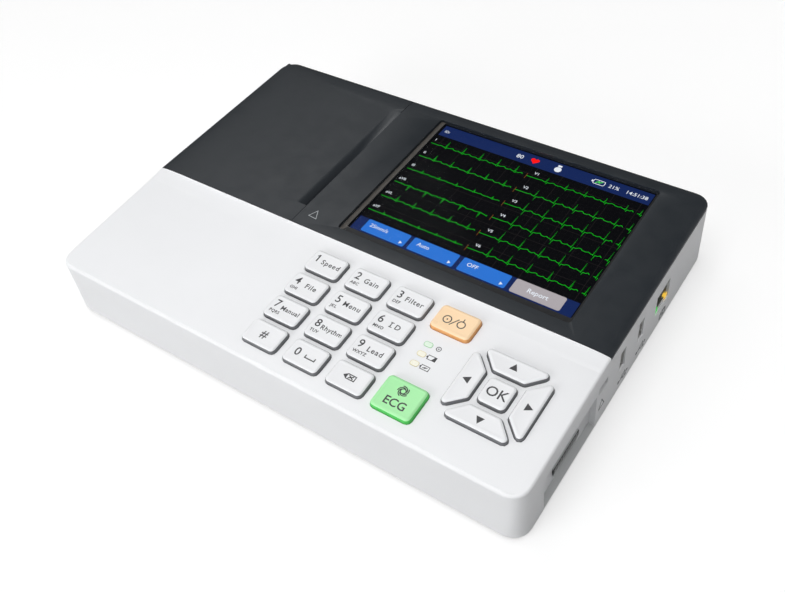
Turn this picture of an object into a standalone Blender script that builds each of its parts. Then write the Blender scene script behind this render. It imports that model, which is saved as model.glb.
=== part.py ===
"""Desktop ECG machine: wedge casing, printer under a door on the left, screen and keypad on the right.

Lengths are in millimetres and become metres as each mesh is made. +X is the machine's right, +Y its back,
+Z up. The origin is on the table, under the middle of the casing.
"""

import math

import bmesh
import bpy
from mathutils import Matrix

MM = 0.001
GAP = 0.3  # clearance between neighbours

# casing
WIDTH = 290.0
DEPTH = 208.0
CORNER = 9.0
WALL = 2.5
DRAFT = 0.7  # how far the walls lean out at their foot
FOOT = 2.5  # casing's height above the table
SEAM = 39.2  # top of the white walls, under the dark panels
RIM = 40.9  # top of the dark panels' vertical edge
TOP = 42.2  # middle of the dark panels
ROLL_OFF = [(1.0, 0.45), (3.0, 0.35), (5.0, 0.3), (9.0, 0.2)]  # (inset, rise) from RIM up to TOP
PANEL = SEAM + GAP  # underside of the dark panels
SHELF = 2.2  # plate of the casing under the dark panels
FRONT, BACK = -DEPTH / 2, DEPTH / 2
LEFT, RIGHT = -WIDTH / 2, WIDTH / 2

# keypad deck
BOUNDARY = -19.4  # where the white deck meets the dark panels
DECK = 41.14  # deck plane's height, carried back to the boundary
SLOPE = math.atan(0.0491)
DECK_PLATE = 2.5
LIP = 0.4  # thin white edge in front of the dark panels
RAMP = 9.6  # length of the steeper strip behind the keys
RAMP_RISE = 0.31
RAMP_STEPS = 4
DECK_EDGE = [(-0.15, -1.5), (0.1, -0.75), (0.45, -0.28), (1.0, -0.05), (1.6, 0.06)]  # (inset, height)

# keys, in the deck's own plane: x across, v up the slope from the boundary, n out of it
KEY_ROUND = 2.6
KEY_PRESS = 1.0
CAP_LEVELS = (-4.0, -2.8, 1.2, 2.0, 2.4)  # flange foot, flange top, straight side, draft, crown
KEY_SIZE = (21.3, 14.5)
KEY_PITCH = (26.15, 17.25)
FIRST_KEY = (-6.9, -17.15)
SIDE_KEY_X = 72.1
PAD_CENTRE = (109.8, -43.2)
PAD_INNER, PAD_OUTER = 10.1, 21.2
PAD_SHORT, PAD_LONG = 8.3, 19.0
OK_SIZE = (14.6, 14.8)
LIGHT_X, LIGHT_V, LIGHT_PITCH = 66.8, -33.8, 6.2
LIGHT_SIZE = (4.2, 2.6)

# screen
DIVIDER = -45.0  # seam between printer door and screen panel
WINDOW = (-19.3, 119.7, -10.8, 95.7)
LEDGE = (-16.2, 118.2, -6.2, 95.2)
LEDGE_TOP = 40.3
LCD_CENTRE = (51.0, 44.5)
LCD_SIZE = (148.0, 111.0)
LCD_THICK = 5.5

# printer
PAPER_Y = 42.7  # middle of the paper's width
PAPER_WIDTH = 80.0
HINGE_X, HINGE_Z = -142.4, 38.9
BARREL, LUG, PIN_HOLE, PIN = 2.6, 1.7, 1.0, 0.8
LUGS_Y = (-10.0, 40.0, 88.0)
LUG_WIDTH = 5.0
HINGE_WALL = 35.4  # the left wall is lower under the door's rolled edge
BAY = (-139.3, -46.5, -8.0, 93.0)
GROOVE = (-52.5, -5.0, 90.3)  # inner edge, front end, back end
GROOVE_DEPTH = 1.2
PLATEN = (-56.3, 34.2)
PLATEN_R, PLATEN_SHAFT = 5.0, 1.5
MODULE = 0.8
PLATEN_TEETH, IDLER_TEETH, PINION_TEETH = 11, 16, 10
GEAR_Y, GEAR_WIDTH = -4.5, 3.0
IDLER = (-58.5, 23.52)
PINION = (-68.0, 19.05)
MOTOR_R, MOTOR_FACE, MOTOR_LENGTH = 10.0, -6.3, 15.7
ROLL = (-112.0, 22.7)
ROLL_R, CORE_R = 15.0, 6.0
TRAY = (-137.5, -64.0, 0.6, 84.8)

# right-hand wall: (centre y, centre z)
LAN = (43.6, 22.0)
USB_FRONT, USB_REAR = (-4.5, 24.0), (16.6, 24.0)
MICRO = (-25.7, 27.0)
LEAD_RECESS = (-83.9, -32.4, 27.0)  # front end, back end, top
LEAD = (-57.9, 11.3)
RECESS = 2.5
INLET = (20.0, 20.0)  # on the back wall: centre x, centre z

# bottom
SCREWS = (134.5, 93.5)
FEET = (121.0, 84.0)
BATTERY_BAY = (-112.0, -38.0, -93.0, -33.0)
SPEAKER = (-8.0, -62.0)
BASE = 2.5


def clear_scene():
    for obj in list(bpy.data.objects):
        bpy.data.objects.remove(obj)


def collection(name):
    made = bpy.data.collections.new(name)
    bpy.context.scene.collection.children.link(made)
    return made


def material(name, colour, roughness, metallic=0.0):
    made = bpy.data.materials.new(name)
    made.use_nodes = True
    shader = made.node_tree.nodes["Principled BSDF"]
    shader.inputs["Base Color"].default_value = (*colour, 1.0)
    shader.inputs["Roughness"].default_value = roughness
    shader.inputs["Metallic"].default_value = metallic
    return made


# outlines: lists of (x, y), counterclockwise


def rectangle(x0, x1, y0, y1):
    return [(x0, y0), (x1, y0), (x1, y1), (x0, y1)]


def centred(size, x=0.0, y=0.0):
    return rectangle(x - size[0] / 2, x + size[0] / 2, y - size[1] / 2, y + size[1] / 2)


def unit(start, end):
    length = math.hypot(end[0] - start[0], end[1] - start[1])
    return (end[0] - start[0]) / length, (end[1] - start[1]) / length


def grow(points, distance):
    """Moves each side of a convex outline outwards by distance."""
    grown = []
    for before, point, after in zip(points[-1:] + points[:-1], points, points[1:] + points[:1]):
        (ax, ay), (bx, by) = unit(before, point), unit(point, after)
        reach = distance / (1.0 + ax * bx + ay * by)
        grown.append((point[0] + (ay + by) * reach, point[1] - (ax + bx) * reach))
    return grown


def rounded(points, radius, segments=3):
    """Replaces each corner of a convex outline by an arc."""
    outline = []
    for before, point, after in zip(points[-1:] + points[:-1], points, points[1:] + points[:1]):
        (ax, ay), (bx, by) = unit(before, point), unit(point, after)
        turn = math.atan2(ax * by - ay * bx, ax * bx + ay * by)
        back = radius * math.tan(turn / 2)
        centre = (point[0] - ax * back - ay * radius, point[1] - ay * back + ax * radius)
        start = math.atan2(-ax, ay)
        for step in range(segments + 1):
            angle = start + turn * step / segments
            outline.append((centre[0] + radius * math.cos(angle), centre[1] + radius * math.sin(angle)))
    return outline


def circle(radius, sides, x=0.0, y=0.0):
    turns = [2 * math.pi * step / sides for step in range(sides)]
    return [(x + radius * math.cos(turn), y + radius * math.sin(turn)) for turn in turns]


def gear_outline(teeth, bore_phase):
    """Straight-sided teeth with backlash; a tooth points along the angle bore_phase."""
    pitch_radius = MODULE * teeth / 2
    tooth = 2 * math.pi / teeth
    corners = [
        (-0.33, -1.15 * MODULE),
        (-0.2, 0.0),
        (-0.09, 0.8 * MODULE),
        (0.09, 0.8 * MODULE),
        (0.2, 0.0),
        (0.33, -1.15 * MODULE),
    ]
    return [
        (
            (pitch_radius + height) * math.cos(bore_phase + (index + part) * tooth),
            (pitch_radius + height) * math.sin(bore_phase + (index + part) * tooth),
        )
        for index in range(teeth)
        for part, height in corners
    ]


# solids: bmeshes in millimetres until finish() scales them


def raised(outline, bottom, steps):
    """Raises an outline from z = bottom: each step is (inset, rise), a straight side where the inset is 0."""
    bm = bmesh.new()
    top = bm.faces.new([bm.verts.new((x, y, bottom)) for x, y in outline])
    for inset, rise in steps:
        if inset:
            bmesh.ops.inset_region(bm, faces=[top], thickness=inset, depth=0.0, use_even_offset=True)
            bmesh.ops.translate(bm, vec=(0, 0, rise), verts=top.verts[:])
            continue
        made = bmesh.ops.extrude_face_region(bm, geom=[top, *top.edges])
        top = next(item for item in made["geom"] if isinstance(item, bmesh.types.BMFace))
        bmesh.ops.translate(bm, vec=(0, 0, rise), verts=top.verts[:])
    bmesh.ops.recalc_face_normals(bm, faces=bm.faces[:])
    return bm


def prism(outline, bottom, top):
    return raised(outline, bottom, [(0, top - bottom)])


def box(x0, x1, y0, y1, z0, z1):
    bm = bmesh.new()
    bmesh.ops.create_cube(bm, size=1.0)
    bmesh.ops.scale(bm, vec=(x1 - x0, y1 - y0, z1 - z0), verts=bm.verts[:])
    bmesh.ops.translate(bm, vec=((x0 + x1) / 2, (y0 + y1) / 2, (z0 + z1) / 2), verts=bm.verts[:])
    return bm


def rod(radius, sides, bottom, top, x=0.0, y=0.0):
    """An upright cylinder."""
    bm = bmesh.new()
    bmesh.ops.create_cone(
        bm, cap_ends=True, segments=sides, radius1=radius, radius2=radius, depth=top - bottom
    )
    bmesh.ops.translate(bm, vec=(x, y, (bottom + top) / 2), verts=bm.verts[:])
    return bm


def turned(bm, rotation, x=0.0, y=0.0, z=0.0):
    """Rotates a solid about the origin, then moves it."""
    bmesh.ops.transform(bm, matrix=Matrix.Translation((x, y, z)) @ rotation, verts=bm.verts[:])
    return bm


def along_y(outline, y0, y1, x=0.0, z=0.0):
    """An outline drawn in x and z, made solid from y0 to y1."""
    return turned(prism(outline, -y1, -y0), Matrix.Rotation(math.radians(90), 4, "X"), x=x, z=z)


def rod_y(radius, sides, y0, y1, x=0.0, z=0.0):
    """A cylinder along y."""
    return turned(rod(radius, sides, -y1, -y0), Matrix.Rotation(math.radians(90), 4, "X"), x=x, z=z)


def along_x(outline, x0, x1, y=0.0, z=0.0):
    """An outline drawn in y and z, made solid from x0 to x1."""
    spin = Matrix.Rotation(math.radians(90), 4, "Z") @ Matrix.Rotation(math.radians(90), 4, "X")
    return turned(prism(outline, x0, x1), spin, y=y, z=z)


def together(*solids):
    """Several separate solids in one bmesh, as a cutter may hold."""
    whole = bmesh.new()
    for solid in solids:
        mesh = bpy.data.meshes.new("part")
        solid.to_mesh(mesh)
        solid.free()
        whole.from_mesh(mesh)
        bpy.data.meshes.remove(mesh)
    return whole


def finish(name, bm, group, finish_material=None, location=(0, 0, 0), parent=None):
    """Makes an object of a bmesh; location is in millimetres, in the parent's frame."""
    bmesh.ops.scale(bm, vec=(MM, MM, MM), verts=bm.verts[:])
    mesh = bpy.data.meshes.new(name)
    bm.to_mesh(mesh)
    bm.free()
    obj = bpy.data.objects.new(name, mesh)
    group.objects.link(obj)
    obj.location = [value * MM for value in location]
    obj.parent = parent
    if finish_material:
        mesh.materials.append(finish_material)
        mesh.shade_smooth()
        mesh.set_sharp_from_angle(angle=math.radians(35))
    return obj


def combine(target, name, bm, operation, parent=None):
    """Cuts a solid from a part, or joins it on, and gives back the solid used."""
    tool = finish(name, bm, TOOLS, parent=parent)
    tool.hide_render = True
    tool.display_type = "WIRE"
    modifier = target.modifiers.new(name, "BOOLEAN")
    modifier.operation = operation
    modifier.solver = "EXACT"
    modifier.object = tool
    return tool


def cut(target, name, bm, parent=None):
    return combine(target, name, bm, "DIFFERENCE", parent)


def join(target, name, bm, parent=None):
    return combine(target, name, bm, "UNION", parent)


def keep(target, name, bm):
    return combine(target, name, bm, "INTERSECT")


clear_scene()
PARTS = collection("ecg_machine")
TOOLS = collection("cutters")
WHITE = material("white_plastic", (0.86, 0.87, 0.88), 0.42)
SLATE = material("slate_plastic", (0.055, 0.065, 0.075), 0.38)
INNER = material("black_plastic", (0.03, 0.03, 0.03), 0.5)
GREY = material("grey_plastic", (0.35, 0.36, 0.37), 0.5)
ORANGE = material("orange_plastic", (0.98, 0.72, 0.45), 0.4)
GREEN = material("green_plastic", (0.35, 0.85, 0.38), 0.4)
CLEAR = material("clear_plastic", (0.85, 0.9, 0.8), 0.2)
GLASS = material("window_glass", (0.02, 0.02, 0.025), 0.05)
SCREEN = material("screen", (0.01, 0.01, 0.01), 0.2)
BOARD = material("circuit_board", (0.02, 0.2, 0.08), 0.5)
STEEL = material("steel", (0.6, 0.6, 0.6), 0.35, 1.0)
RUBBER = material("rubber", (0.03, 0.03, 0.03), 0.8)
SILICONE = material("silicone", (0.7, 0.7, 0.7), 0.7)
PAPER = material("paper", (0.9, 0.88, 0.86), 0.9)
NYLON = material("nylon", (0.85, 0.84, 0.8), 0.5)

DECK_FRAME = bpy.data.objects.new("deck_frame", None)
DECK_FRAME.location = (0, BOUNDARY * MM, DECK * MM)
DECK_FRAME.rotation_euler = (SLOPE, 0, 0)
PARTS.objects.link(DECK_FRAME)


def deck_height(y):
    return DECK + math.tan(SLOPE) * (y - BOUNDARY)


def casing_block(bottom):
    """The outer form of casing and dark panels together, from z = bottom to the rolled-off top."""
    rings = [(-DRAFT * (RIM - bottom) / (RIM - FOOT), bottom), (0.0, RIM)]
    for step, rise in ROLL_OFF:
        inset, height = rings[-1]
        rings.append((inset + step, height + rise))
    bm = bmesh.new()
    loops = []
    for inset, height in rings:
        outline = rounded(grow(centred((WIDTH, DEPTH)), -inset), max(CORNER - inset, 1.5), 6)
        loops.append([bm.verts.new((x, y, height)) for x, y in outline])
    bm.faces.new(loops[0])
    bm.faces.new(loops[-1])
    for lower, upper in zip(loops, loops[1:]):
        corners = zip(lower, lower[1:] + lower[:1], upper[1:] + upper[:1], upper)
        for quad in corners:
            bm.faces.new(quad)
    bmesh.ops.recalc_face_normals(bm, faces=bm.faces[:])
    return bm


# keypad


def key_shapes():
    """Name, corner points and material of every key, in the deck's plane."""
    shapes = []
    names = ["1", "2", "3", "4", "5", "6", "7", "8", "9", "hash", "0", "delete"]
    for index, label in enumerate(names):
        row, column = divmod(index, 3)
        x = FIRST_KEY[0] + column * KEY_PITCH[0]
        v = FIRST_KEY[1] - row * KEY_PITCH[1]
        shapes.append((f"key_{label}", centred(KEY_SIZE, x, v), WHITE))
    shapes.append(("power_key", centred((22.3, 15.2), SIDE_KEY_X, -17.3), ORANGE))
    shapes.append(("ecg_key", centred((22.3, 19.1), SIDE_KEY_X, -66.8), GREEN))
    shapes.append(("ok_key", centred(OK_SIZE, *PAD_CENTRE), WHITE))
    wedge = [(PAD_SHORT, PAD_INNER), (PAD_LONG, PAD_OUTER), (-PAD_LONG, PAD_OUTER), (-PAD_SHORT, PAD_INNER)]
    for quarter, name in enumerate(("arrow_up", "arrow_left", "arrow_down", "arrow_right")):
        cos, sin = round(math.cos(quarter * math.pi / 2)), round(math.sin(quarter * math.pi / 2))
        points = [(PAD_CENTRE[0] + x * cos - y * sin, PAD_CENTRE[1] + x * sin + y * cos) for x, y in wedge]
        shapes.append((name, points, WHITE))
    return shapes


def key_round(name):
    return 2.2 if name.startswith("arrow") else KEY_ROUND


def make_keys():
    foot, shoulder, side, draft, crown = CAP_LEVELS
    flange = 0.9
    for name, points, finish_material in key_shapes():
        x = sum(point[0] for point in points) / 4
        v = sum(point[1] for point in points) / 4
        local = [(px - x, pv - v) for px, pv in points]
        outline = rounded(grow(local, flange), key_round(name) + flange)
        steps = [(0, shoulder - foot), (flange, 0), (0, side - shoulder)]
        steps += [(0.2, draft - side), (0.5, crown - draft)]
        finish(name, raised(outline, foot, steps), PARTS, finish_material, (x, v, 0), DECK_FRAME)


def light_outlines(clearance):
    for index in range(3):
        window = centred(LIGHT_SIZE, LIGHT_X, LIGHT_V - index * LIGHT_PITCH)
        yield rounded(grow(window, clearance), 1.0 + clearance)


def make_lights():
    for name, outline in zip(("run_light", "battery_light", "charge_light"), light_outlines(0.0)):
        finish(name, raised(outline, -5.2, [(0, 5.3)]), PARTS, CLEAR, parent=DECK_FRAME)


def keypad_holes():
    clearance = 0.35
    reach = 6.0
    holes = [
        prism(rounded(grow(points, clearance), key_round(name) + clearance), -reach, reach)
        for name, points, _ in key_shapes()
    ]
    holes += [prism(outline, -reach, reach) for outline in light_outlines(0.3)]
    return together(*holes)


def make_keypad_inside():
    sheet = (-22.0, 130.0, -79.0, -6.5)
    under = CAP_LEVELS[0] - KEY_PRESS - GAP
    finish("keypad_membrane", box(*sheet, under - 0.8, under), PARTS, SILICONE, parent=DECK_FRAME)
    board_top = under - 0.8 - GAP
    finish("keypad_board", box(*sheet, board_top - 1.6, board_top), PARTS, BOARD, parent=DECK_FRAME)


# casing


def ramp_profile():
    """(y, z) along the steeper strip, up to the lip."""
    start = BOUNDARY - LIP - RAMP
    parts = [step / RAMP_STEPS for step in range(RAMP_STEPS + 1)]
    return [(start + RAMP * part, deck_height(start + RAMP * part) + RAMP_RISE * part**1.5) for part in parts]


def deck_cutter():
    """Everything above the deck: a plane, then a ramp that steepens up to the lip."""
    far, high = FRONT - 5.0, TOP + 5.0
    profile = [(far, deck_height(far)), *ramp_profile(), (BOUNDARY - LIP, high), (far, high)]
    return along_x(profile, LEFT - 5, RIGHT + 5)


def deck_edge_cutter():
    """Rounds the deck's outer edge: the profile DECK_EDGE swept round the front half of the casing."""
    side = [(RIGHT, y, z, 0.0) for y, z in reversed(ramp_profile())]
    side[0] = (RIGHT, side[0][1] - 0.05, side[0][2], 0.0)
    places = side[:]
    steps = 6
    for centre_x, first in ((RIGHT - CORNER, 0), (LEFT + CORNER, steps)):
        for step in range(steps + 1):
            turn = -math.pi / 2 * (first + step) / steps
            x, y = centre_x + CORNER * math.cos(turn), FRONT + CORNER + CORNER * math.sin(turn)
            places.append((x, y, deck_height(y), turn))
    places += [(LEFT, y, z, -math.pi) for _, y, z, _ in reversed(side)]
    profile = [(-3.0, 3.0), (-3.0, DECK_EDGE[0][1]), *DECK_EDGE, (DECK_EDGE[-1][0], 3.0)]
    bm = bmesh.new()
    loops = []
    for x, y, z, turn in places:
        cos, sin = math.cos(turn), math.sin(turn)
        loop = [(x - inset * cos, y - inset * sin, z + height) for inset, height in profile]
        loops.append([bm.verts.new(point) for point in loop])
    bm.faces.new(loops[0])
    bm.faces.new(loops[-1])
    for here, there in zip(loops, loops[1:]):
        for quad in zip(here, here[1:] + here[:1], there[1:] + there[:1], there):
            bm.faces.new(quad)
    bmesh.ops.recalc_face_normals(bm, faces=bm.faces[:])
    return bm


def cavity():
    """The hollow of the casing, before deck and shelf take their share of its top."""
    outline = rounded(grow(centred((WIDTH, DEPTH)), -WALL), CORNER - WALL, 4)
    return prism(outline, 0.0, SEAM)


def deck_and_shelf():
    """What the sloping deck plate and the level shelf behind it take off the hollow."""
    far, near, step = FRONT - 5.0, BACK + 5.0, BOUNDARY - 4.0
    profile = [
        (far, deck_height(far) - DECK_PLATE),
        (step, deck_height(step) - DECK_PLATE),
        (step, SEAM - SHELF),
        (near, SEAM - SHELF),
        (near, TOP),
        (far, TOP),
    ]
    return along_x(profile, LEFT - 5, RIGHT + 5)


def recess_cutter():
    """The lead socket's recess: open to the side, with a sill that slopes down to the bottom edge."""
    front, back, top = LEAD_RECESS
    sill = [(RIGHT - RECESS, FOOT + 2.6), (RIGHT + 5, FOOT - 2.6), (RIGHT + 5, top), (RIGHT - RECESS, top)]
    return along_y(sill, front, back)


def d_outline(width, height, slant):
    """A D-shaped connector's outline, wider at the top, drawn in y and z."""
    half, low = width / 2, width / 2 - slant
    return rounded([(-low, -height / 2), (low, -height / 2), (half, height / 2), (-half, height / 2)], 1.5, 2)


def port_holes():
    """Openings for the sockets in the right-hand and back walls."""
    x0, x1 = RIGHT - 2 * WALL, RIGHT + 2
    holes = [
        along_x(centred((16.6, 14.1), *LAN), x0, x1),
        along_x(centred((6.3, 13.7), *USB_FRONT), x0, x1),
        along_x(centred((6.3, 13.7), *USB_REAR), x0, x1),
        along_x(rounded(centred((9.6, 5.2), *MICRO), 1.2, 2), x0, x1),
        along_x(d_outline(26.6, 10.0, 1.6), RIGHT - 3 * WALL, RIGHT + 2, y=LEAD[0], z=LEAD[1]),
        along_y(centred((28.1, 20.6), *INLET), BACK - 2 * WALL, BACK + 2),
    ]
    return together(*holes)


def hinge_lugs():
    """Rings that hold the hinge pin, each on a stem that rises from the left wall."""
    turns = [math.radians(-35 + 25 * step) for step in range(11)]
    outline = [(-1.0, -6.0), (1.39, -6.0)]
    outline += [(LUG * math.cos(turn), LUG * math.sin(turn)) for turn in turns]
    outline += [(-1.0, -1.6)]
    half = LUG_WIDTH / 2
    return together(*[along_y(outline, y - half, y + half, HINGE_X, HINGE_Z) for y in LUGS_Y])


def screw_posts():
    reach = SEAM - SHELF + 0.6
    places = [(x, y) for x in (-SCREWS[0], SCREWS[0]) for y in (-SCREWS[1], SCREWS[1])]
    tops = [reach if y > 0 else deck_height(y) - DECK_PLATE + 0.6 for _, y in places]
    return together(*[rod(3.5, 12, 5.3, top, x, y) for (x, y), top in zip(places, tops)])


def at_screws(radius, sides, bottom, top):
    places = [(x, y) for x in (-SCREWS[0], SCREWS[0]) for y in (-SCREWS[1], SCREWS[1])]
    return together(*[rod(radius, sides, bottom, top, x, y) for x, y in places])


def make_upper_housing():
    housing = finish("upper_housing", casing_block(FOOT), PARTS, WHITE)
    hollow = cut(housing, "hollow", cavity())
    cut(hollow, "deck_and_shelf", deck_and_shelf())
    cut(housing, "above_deck", deck_cutter())
    cut(housing, "deck_edge", deck_edge_cutter())
    cut(housing, "above_seam", box(LEFT - 5, RIGHT + 5, BOUNDARY, BACK + 5, SEAM, TOP + 5))
    cut(housing, "keypad_holes", keypad_holes(), DECK_FRAME)
    lcd = centred((LCD_SIZE[0] + 1, LCD_SIZE[1] + 0.8), *LCD_CENTRE)
    cut(housing, "lcd_opening", prism(lcd, 30, 50))
    cut(housing, "printer_bay", box(*BAY, 30, 50))
    cut(housing, "rolled_edge_room", box(LEFT - 5, BAY[0] + 0.1, BOUNDARY, BACK + 5, HINGE_WALL, 50))
    front, back, top = LEAD_RECESS
    pocket = box(RIGHT - RECESS - 2.3, RIGHT - WALL + 0.4, front - 2, back + 2, FOOT + BASE + GAP, top + 2)
    join(housing, "recess_wall", pocket)
    cut(housing, "recess", recess_cutter())
    join(housing, "screw_posts", screw_posts())
    cut(housing, "post_bores", at_screws(1.6, 10, 0, 18))
    lugs = join(housing, "hinge_lugs", hinge_lugs())
    cut(lugs, "hinge_bores", rod_y(PIN_HOLE, 12, FRONT, BACK, HINGE_X, HINGE_Z))
    cut(housing, "port_holes", port_holes())


def make_screen_panel():
    panel = finish("screen_panel", casing_block(PANEL), PARTS, SLATE)
    keep(panel, "screen_side", box(DIVIDER + GAP / 2, RIGHT + 5, BOUNDARY + GAP, BACK + 5, 30, 50))
    cut(panel, "window", prism(rounded(rectangle(*WINDOW), 2.0), LEDGE_TOP, 50))
    cut(panel, "ledge", prism(rounded(rectangle(*LEDGE), 1.0), 30, 50))
    glass = rounded(grow(rectangle(*WINDOW), -GAP), 2.0 - GAP)
    finish("display_glass", prism(glass, LEDGE_TOP + GAP, TOP - 0.2), PARTS, GLASS)
    lcd = rounded(centred(LCD_SIZE), 1.0, 2)
    lcd_top = PANEL - GAP
    finish("lcd_module", prism(lcd, -LCD_THICK, 0), PARTS, SCREEN, (*LCD_CENTRE, lcd_top))


# printer


def make_printer_door():
    """The lid, its rolled hinge edge, and the arms that carry the platen; its origin is on the hinge axis."""
    here = (HINGE_X, 0, HINGE_Z)
    lid = casing_block(PANEL)
    bmesh.ops.translate(lid, vec=[-value for value in here], verts=lid.verts[:])
    door = finish("printer_door", lid, PARTS, SLATE, here)
    edge = DIVIDER - GAP / 2
    keep(door, "door_side", box(LEFT - 5, edge, BOUNDARY + GAP, BACK + 5, 30, 50))
    barrel = rod_y(BARREL, 20, BOUNDARY + GAP, BACK - 2.6, HINGE_X, HINGE_Z)
    join(door, "hinge_barrel", barrel)
    notches = []
    for y in LUGS_Y:
        y0, y1 = y - LUG_WIDTH / 2 - GAP, y + LUG_WIDTH / 2 + GAP
        # the roof arc clears the ring and everything under it is open
        roof = [(LUG + GAP) * part for part in (-2.2, -1.02)]
        arc = [(math.cos(turn), math.sin(turn)) for turn in (math.pi * step / 8 for step in range(9))]
        points = [((LUG + GAP) * cos, (LUG + GAP) * sin) for cos, sin in arc]
        outline = [(roof[0], -4.0), (-roof[0], -4.0), (-roof[0], PANEL - HINGE_Z)]
        outline += [point for point in points if point[1] > PANEL - HINGE_Z]
        outline += [(roof[0], PANEL - HINGE_Z)]
        notches.append(along_y(outline, y0, y1, HINGE_X, HINGE_Z))
    cut(door, "lug_notches", together(*notches))
    cut(door, "pin_bore", rod_y(PIN_HOLE, 12, BOUNDARY - 5, BACK + 5, HINGE_X, HINGE_Z))
    inner, front, back = GROOVE
    slope = [(inner, TOP + 0.02), (edge + 1, TOP - GROOVE_DEPTH), (edge + 1, TOP + 3), (inner, TOP + 3)]
    cut(door, "groove", along_y(slope, front, back))
    arms = []
    for y in (PAPER_Y - 43.8, PAPER_Y + 41.3):
        arm = [(-62.0, PANEL + 0.5), (-61.0, 31.5), (-59.0, 30.5)]
        arm += [(-53.5, 30.5), (-51.5, 31.5), (-50.5, PANEL + 0.5)]
        arms.append(along_y(arm, y, y + 2.5))
    join(door, "platen_arms", together(*arms))
    bore = rod_y(PLATEN_SHAFT + GAP, 12, PAPER_Y - 46, PAPER_Y + 46, *PLATEN)
    cut(door, "arm_bores", bore)


def make_hinge_pin():
    pin = rod_y(PIN, 10, BOUNDARY + 1.0, BACK - 9)
    finish("door_hinge_pin", pin, PARTS, STEEL, (HINGE_X, 0, HINGE_Z))


def turned_profile(name, profile, finish_material, location, steps=20):
    """A piece turned about the Y direction; profile runs (radius, y) down its outer side."""
    mesh = bpy.data.meshes.new(name)
    points = [(radius * MM, 0, y * MM) for radius, y in profile]
    mesh.from_pydata(points, [(index, index + 1) for index in range(len(points) - 1)], [])
    obj = bpy.data.objects.new(name, mesh)
    PARTS.objects.link(obj)
    mesh.materials.append(finish_material)
    screw = obj.modifiers.new("turn", "SCREW")
    screw.steps = screw.render_steps = steps
    screw.use_merge_vertices = True
    screw.merge_threshold = 0.00001
    obj.rotation_euler = (math.radians(-90), 0, 0)
    obj.location = [value * MM for value in location]
    return obj


def make_platen():
    shaft_end, rubber = 47.3, PAPER_WIDTH / 2 + 1
    shaft = PLATEN_SHAFT
    profile = [(0, shaft_end), (shaft, shaft_end), (shaft, rubber), (PLATEN_R, rubber)]
    profile += [(radius, -y) for radius, y in reversed(profile)]
    turned_profile("platen_roller", profile, RUBBER, (PLATEN[0], PAPER_Y, PLATEN[1]))


def make_gears():
    """The three gears lie in one plane; each tooth of one points into a gap of the next."""
    down = math.atan2(IDLER[1] - PLATEN[1], IDLER[0] - PLATEN[0])
    across = math.atan2(PINION[1] - IDLER[1], PINION[0] - IDLER[0])
    idler_tooth = 2 * math.pi / IDLER_TEETH
    # the idler's tooth that points at the platen fixes its phase; the pinion meets it half a tooth off
    idler_phase = down + math.pi
    turns = (across - idler_phase) / idler_tooth
    pinion_phase = across + math.pi + (0.5 + turns) * 2 * math.pi / PINION_TEETH
    trains = [
        ("platen_gear", PLATEN_TEETH, down + math.pi / PLATEN_TEETH, PLATEN, NYLON),
        ("idler_gear", IDLER_TEETH, idler_phase, IDLER, NYLON),
        ("motor_pinion", PINION_TEETH, pinion_phase, PINION, STEEL),
    ]
    for name, teeth, phase, (x, z), finish_material in trains:
        wheel = along_y(gear_outline(teeth, phase), -GEAR_WIDTH / 2, GEAR_WIDTH / 2)
        made = finish(name, wheel, PARTS, finish_material, (x, GEAR_Y + GEAR_WIDTH / 2, z))
        centre = GEAR_Y + GEAR_WIDTH / 2
        if name == "platen_gear":
            cut(made, "gear_bore", rod_y(PLATEN_SHAFT + GAP, 12, -10, 0, x, z))
        elif name == "idler_gear":
            join(made, "idler_stub", rod_y(1.4, 12, GEAR_Y - 1.5, centre, x, z))
        else:
            join(made, "motor_shaft", rod_y(1.2, 12, MOTOR_FACE - 3.0, centre, x, z))


def make_printer_drive():
    motor = rod_y(MOTOR_R, 20, MOTOR_FACE - MOTOR_LENGTH, MOTOR_FACE, *PINION)
    motor = finish("stepper_motor", motor, PARTS, STEEL)
    cut(motor, "motor_bore", rod_y(1.5, 12, MOTOR_FACE - 4, MOTOR_FACE + 1, *PINION))
    plate = along_y(rectangle(-80, -50, 5.3, 29.5), MOTOR_FACE + GAP, GEAR_Y - GAP)
    plate = finish("gear_plate", plate, PARTS, STEEL)
    holes = [rod_y(1.7, 12, -10, 0, *place) for place in (IDLER, PINION)]
    cut(plate, "axle_holes", together(*holes))


def make_printhead():
    half = PAPER_WIDTH / 2 + 1
    head = box(-51.0, -48.0, PAPER_Y - half, PAPER_Y + half, 20, 38)
    finish("thermal_printhead", head, PARTS, GREY)
    bracket = [(-47.7, 5.3), (-34.0, 5.3), (-34.0, 6.8), (-46.2, 6.8), (-46.2, 36.4), (-47.7, 36.4)]
    finish("printhead_bracket", along_y(bracket, PAPER_Y - half, PAPER_Y + half), PARTS, STEEL)


def make_paper_bay():
    x0, x1, y0, y1 = TRAY
    wall, floor, high, low = 1.6, 7.4, 36.4, 16.0
    tray = finish("paper_tray", box(x0, x1, y0, y1, 5.3, high), PARTS, INNER)
    cut(tray, "tray_hollow", box(x0 + wall, x1 - wall, y0 + wall, y1 - wall, floor, high + 5))
    cut(tray, "tray_front", box(x1 - 5, x1 + 5, y0 - 1, y1 + 1, low, high + 5))
    half = PAPER_WIDTH / 2
    roll = rod_y(ROLL_R, 28, -half, half)
    roll = finish("paper_roll", roll, PARTS, PAPER, (ROLL[0], PAPER_Y, ROLL[1]))
    cut(roll, "roll_core", rod_y(CORE_R, 16, PAPER_Y - half - 1, PAPER_Y + half + 1, *ROLL))


# electronics and sockets


def make_boards():
    finish("main_board", box(-32, 136, -18, 68, 13.3, 14.9), PARTS, BOARD)
    finish("power_board", box(42, 125, 74, 98, 8.0, 9.6), PARTS, BOARD)


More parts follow.
